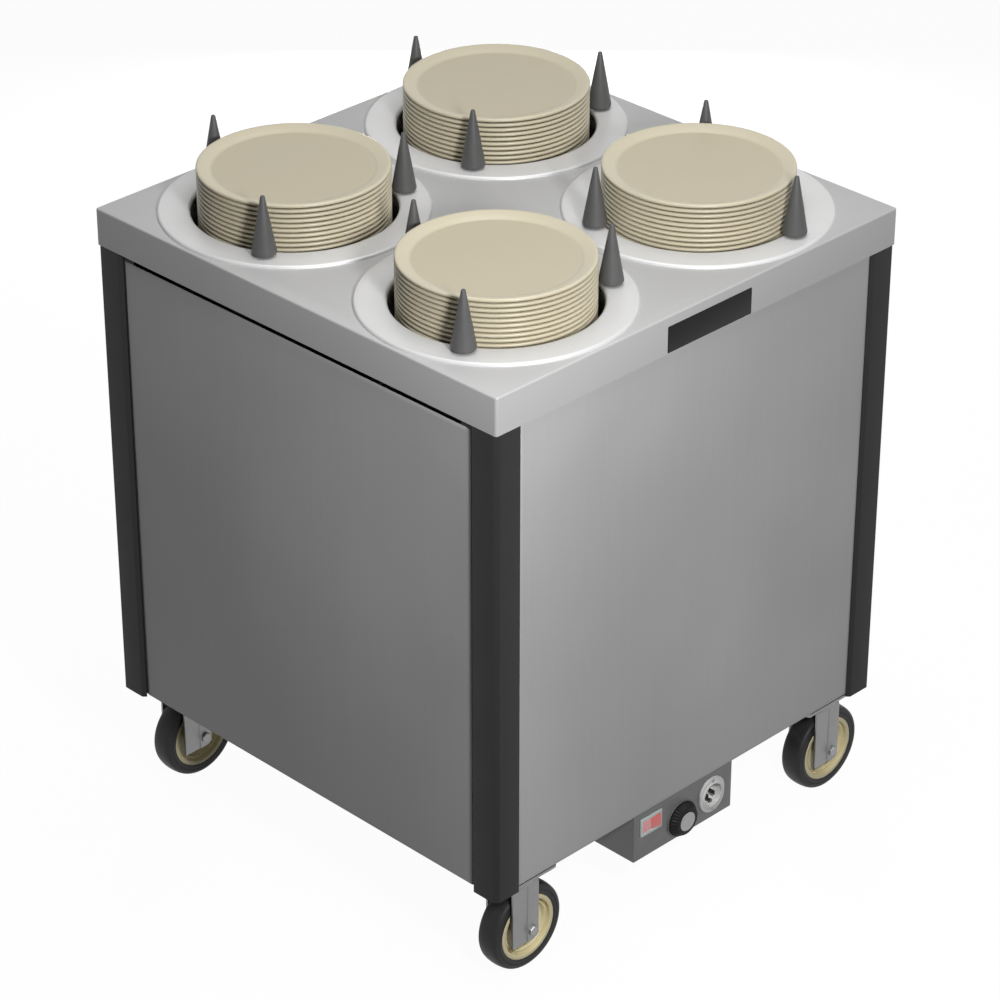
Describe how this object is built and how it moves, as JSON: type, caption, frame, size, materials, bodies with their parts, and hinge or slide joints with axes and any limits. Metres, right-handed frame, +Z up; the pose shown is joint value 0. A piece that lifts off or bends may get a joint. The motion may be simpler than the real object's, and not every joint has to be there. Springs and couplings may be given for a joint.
{
  "type": "plate dispenser cart",
  "caption": "Square stainless plate dispenser cart on swivel casters, with sprung plate wells in its deck, cone-shaped plate guides, corner bumpers and a heater control box below.",
  "frame": {"origin": "on the floor under the middle of the deck", "axes": "+Z up, -Y towards the side with the controls, +X to the right of someone facing the controls"},
  "size_m": [0.7495, 0.738, 0.9805],
  "materials": {
    "deck_steel": "satin brushed stainless sheet",
    "panel_steel": "satin brushed stainless sheet",
    "ring_steel": "spun stainless, fine circular grain",
    "galvanised_sheet": "zinc-coated sheet, faint spangle",
    "frame_paint": "satin grey paint",
    "bumper_vinyl": "charcoal vinyl extrusion",
    "nameplate_dark": "bare dark plate",
    "control_paint": "grey painted sheet",
    "bezel_plastic": "pale moulded plastic",
    "rocker_red": "tinted red plastic",
    "knob_black": "black moulded knob with a silver cap",
    "thermostat_body": "dark moulded body",
    "inlet_plastic": "light grey moulded plastic",
    "heater_sheath": "heat-darkened sheath",
    "spring_steel": "drawn wire",
    "plate_glaze": "ivory glaze",
    "guide_plastic": "charcoal moulded plastic",
    "caster_zinc": "zinc plated pressed steel",
    "fastener_zinc": "zinc plated",
    "hub_plastic": "beige moulded plastic",
    "tyre_black": "black rubber"
  },
  "bodies": {
    "cabinet": {"top_deck": "deck_steel", "deck_braces": "galvanised_sheet", "front_panel": "panel_steel", "rear_panel": "panel_steel", "left_panel": "panel_steel", "right_panel": "panel_steel", "corner_bumpers": "bumper_vinyl", "corner_posts": "galvanised_sheet", "base_frame": "frame_paint", "floor_pan": "galvanised_sheet", "nameplate": "nameplate_dark", "control_box": "control_paint", "rocker_bezel": "bezel_plastic", "thermostat": "thermostat_body", "power_inlet": "inlet_plastic", "heater_element": "heater_sheath", "caster_plates": "caster_zinc", "fasteners": "fastener_zinc", "front_left_flange_ring": "ring_steel", "front_left_well_tube": "galvanised_sheet", "front_left_carrier_springs": "spring_steel", "front_left_plate_guides": "guide_plastic", "front_right_flange_ring": "ring_steel", "front_right_well_tube": "galvanised_sheet", "front_right_carrier_springs": "spring_steel", "front_right_plate_guides": "guide_plastic", "rear_left_flange_ring": "ring_steel", "rear_left_well_tube": "galvanised_sheet", "rear_left_carrier_springs": "spring_steel", "rear_left_plate_guides": "guide_plastic", "rear_right_flange_ring": "ring_steel", "rear_right_well_tube": "galvanised_sheet", "rear_right_carrier_springs": "spring_steel", "rear_right_plate_guides": "guide_plastic"},
    "front_left_carrier": {"front_left_plate_carrier": "galvanised_sheet", "front_left_plate_stack": "plate_glaze"},
    "front_right_carrier": {"front_right_plate_carrier": "galvanised_sheet", "front_right_plate_stack": "plate_glaze"},
    "rear_left_carrier": {"rear_left_plate_carrier": "galvanised_sheet", "rear_left_plate_stack": "plate_glaze"},
    "rear_right_carrier": {"rear_right_plate_carrier": "galvanised_sheet", "rear_right_plate_stack": "plate_glaze"},
    "front_left_swivel": {"front_left_caster_fork": "caster_zinc", "front_left_caster_axle": "fastener_zinc"},
    "front_left_wheel": {"front_left_wheel_hub": "hub_plastic", "front_left_wheel_tyre": "tyre_black"},
    "front_right_swivel": {"front_right_caster_fork": "caster_zinc", "front_right_caster_axle": "fastener_zinc"},
    "front_right_wheel": {"front_right_wheel_hub": "hub_plastic", "front_right_wheel_tyre": "tyre_black"},
    "rear_left_swivel": {"rear_left_caster_fork": "caster_zinc", "rear_left_caster_axle": "fastener_zinc"},
    "rear_left_wheel": {"rear_left_wheel_hub": "hub_plastic", "rear_left_wheel_tyre": "tyre_black"},
    "rear_right_swivel": {"rear_right_caster_fork": "caster_zinc", "rear_right_caster_axle": "fastener_zinc"},
    "rear_right_wheel": {"rear_right_wheel_hub": "hub_plastic", "rear_right_wheel_tyre": "tyre_black"},
    "rocker": {"rocker_switch": "rocker_red"},
    "knob": {"thermostat_knob": "knob_black"}
  },
  "joints": [
    {"name": "front_left_carrier_slide", "type": "slide", "parent": "cabinet", "child": "front_left_carrier", "axis": [0, 0, 1], "range_m": [-0.345, 0], "stiffness_N_per_m": 670, "springref_m": 0.12, "deforming": ["front_left_carrier_springs"]},
    {"name": "front_right_carrier_slide", "type": "slide", "parent": "cabinet", "child": "front_right_carrier", "axis": [0, 0, 1], "range_m": [-0.345, 0], "stiffness_N_per_m": 670, "springref_m": 0.12, "deforming": ["front_right_carrier_springs"]},
    {"name": "rear_left_carrier_slide", "type": "slide", "parent": "cabinet", "child": "rear_left_carrier", "axis": [0, 0, 1], "range_m": [-0.345, 0], "stiffness_N_per_m": 670, "springref_m": 0.12, "deforming": ["rear_left_carrier_springs"]},
    {"name": "rear_right_carrier_slide", "type": "slide", "parent": "cabinet", "child": "rear_right_carrier", "axis": [0, 0, 1], "range_m": [-0.345, 0], "stiffness_N_per_m": 670, "springref_m": 0.12, "deforming": ["rear_right_carrier_springs"]},
    {"name": "front_left_swivel_turn", "type": "hinge", "parent": "cabinet", "child": "front_left_swivel", "pos_m": [-0.2995, -0.324, 0.15], "axis": [0, 0, 1], "continuous": true},
    {"name": "front_left_wheel_spin", "type": "hinge", "parent": "front_left_swivel", "child": "front_left_wheel", "pos_m": [-0.2815, -0.324, 0.0635], "axis": [0, 1, 0], "continuous": true},
    {"name": "front_right_swivel_turn", "type": "hinge", "parent": "cabinet", "child": "front_right_swivel", "pos_m": [0.2995, -0.324, 0.15], "axis": [0, 0, 1], "continuous": true},
    {"name": "front_right_wheel_spin", "type": "hinge", "parent": "front_right_swivel", "child": "front_right_wheel", "pos_m": [0.3175, -0.324, 0.0635], "axis": [0, 1, 0], "continuous": true},
    {"name": "rear_left_swivel_turn", "type": "hinge", "parent": "cabinet", "child": "rear_left_swivel", "pos_m": [-0.2995, 0.324, 0.15], "axis": [0, 0, 1], "continuous": true},
    {"name": "rear_left_wheel_spin", "type": "hinge", "parent": "rear_left_swivel", "child": "rear_left_wheel", "pos_m": [-0.2815, 0.324, 0.0635], "axis": [0, 1, 0], "continuous": true},
    {"name": "rear_right_swivel_turn", "type": "hinge", "parent": "cabinet", "child": "rear_right_swivel", "pos_m": [0.2995, 0.324, 0.15], "axis": [0, 0, 1], "continuous": true},
    {"name": "rear_right_wheel_spin", "type": "hinge", "parent": "rear_right_swivel", "child": "rear_right_wheel", "pos_m": [0.3175, 0.324, 0.0635], "axis": [0, 1, 0], "continuous": true},
    {"name": "rocker_rock", "type": "hinge", "parent": "cabinet", "child": "rocker", "pos_m": [-0.0635, -0.353, 0.13], "axis": [0, 0, 1], "range_deg": [0, 12]},
    {"name": "knob_turn", "type": "hinge", "parent": "cabinet", "child": "knob", "pos_m": [-0.003, -0.355, 0.1085], "axis": [0, 1, 0], "range_deg": [0, 270]}
  ]
}
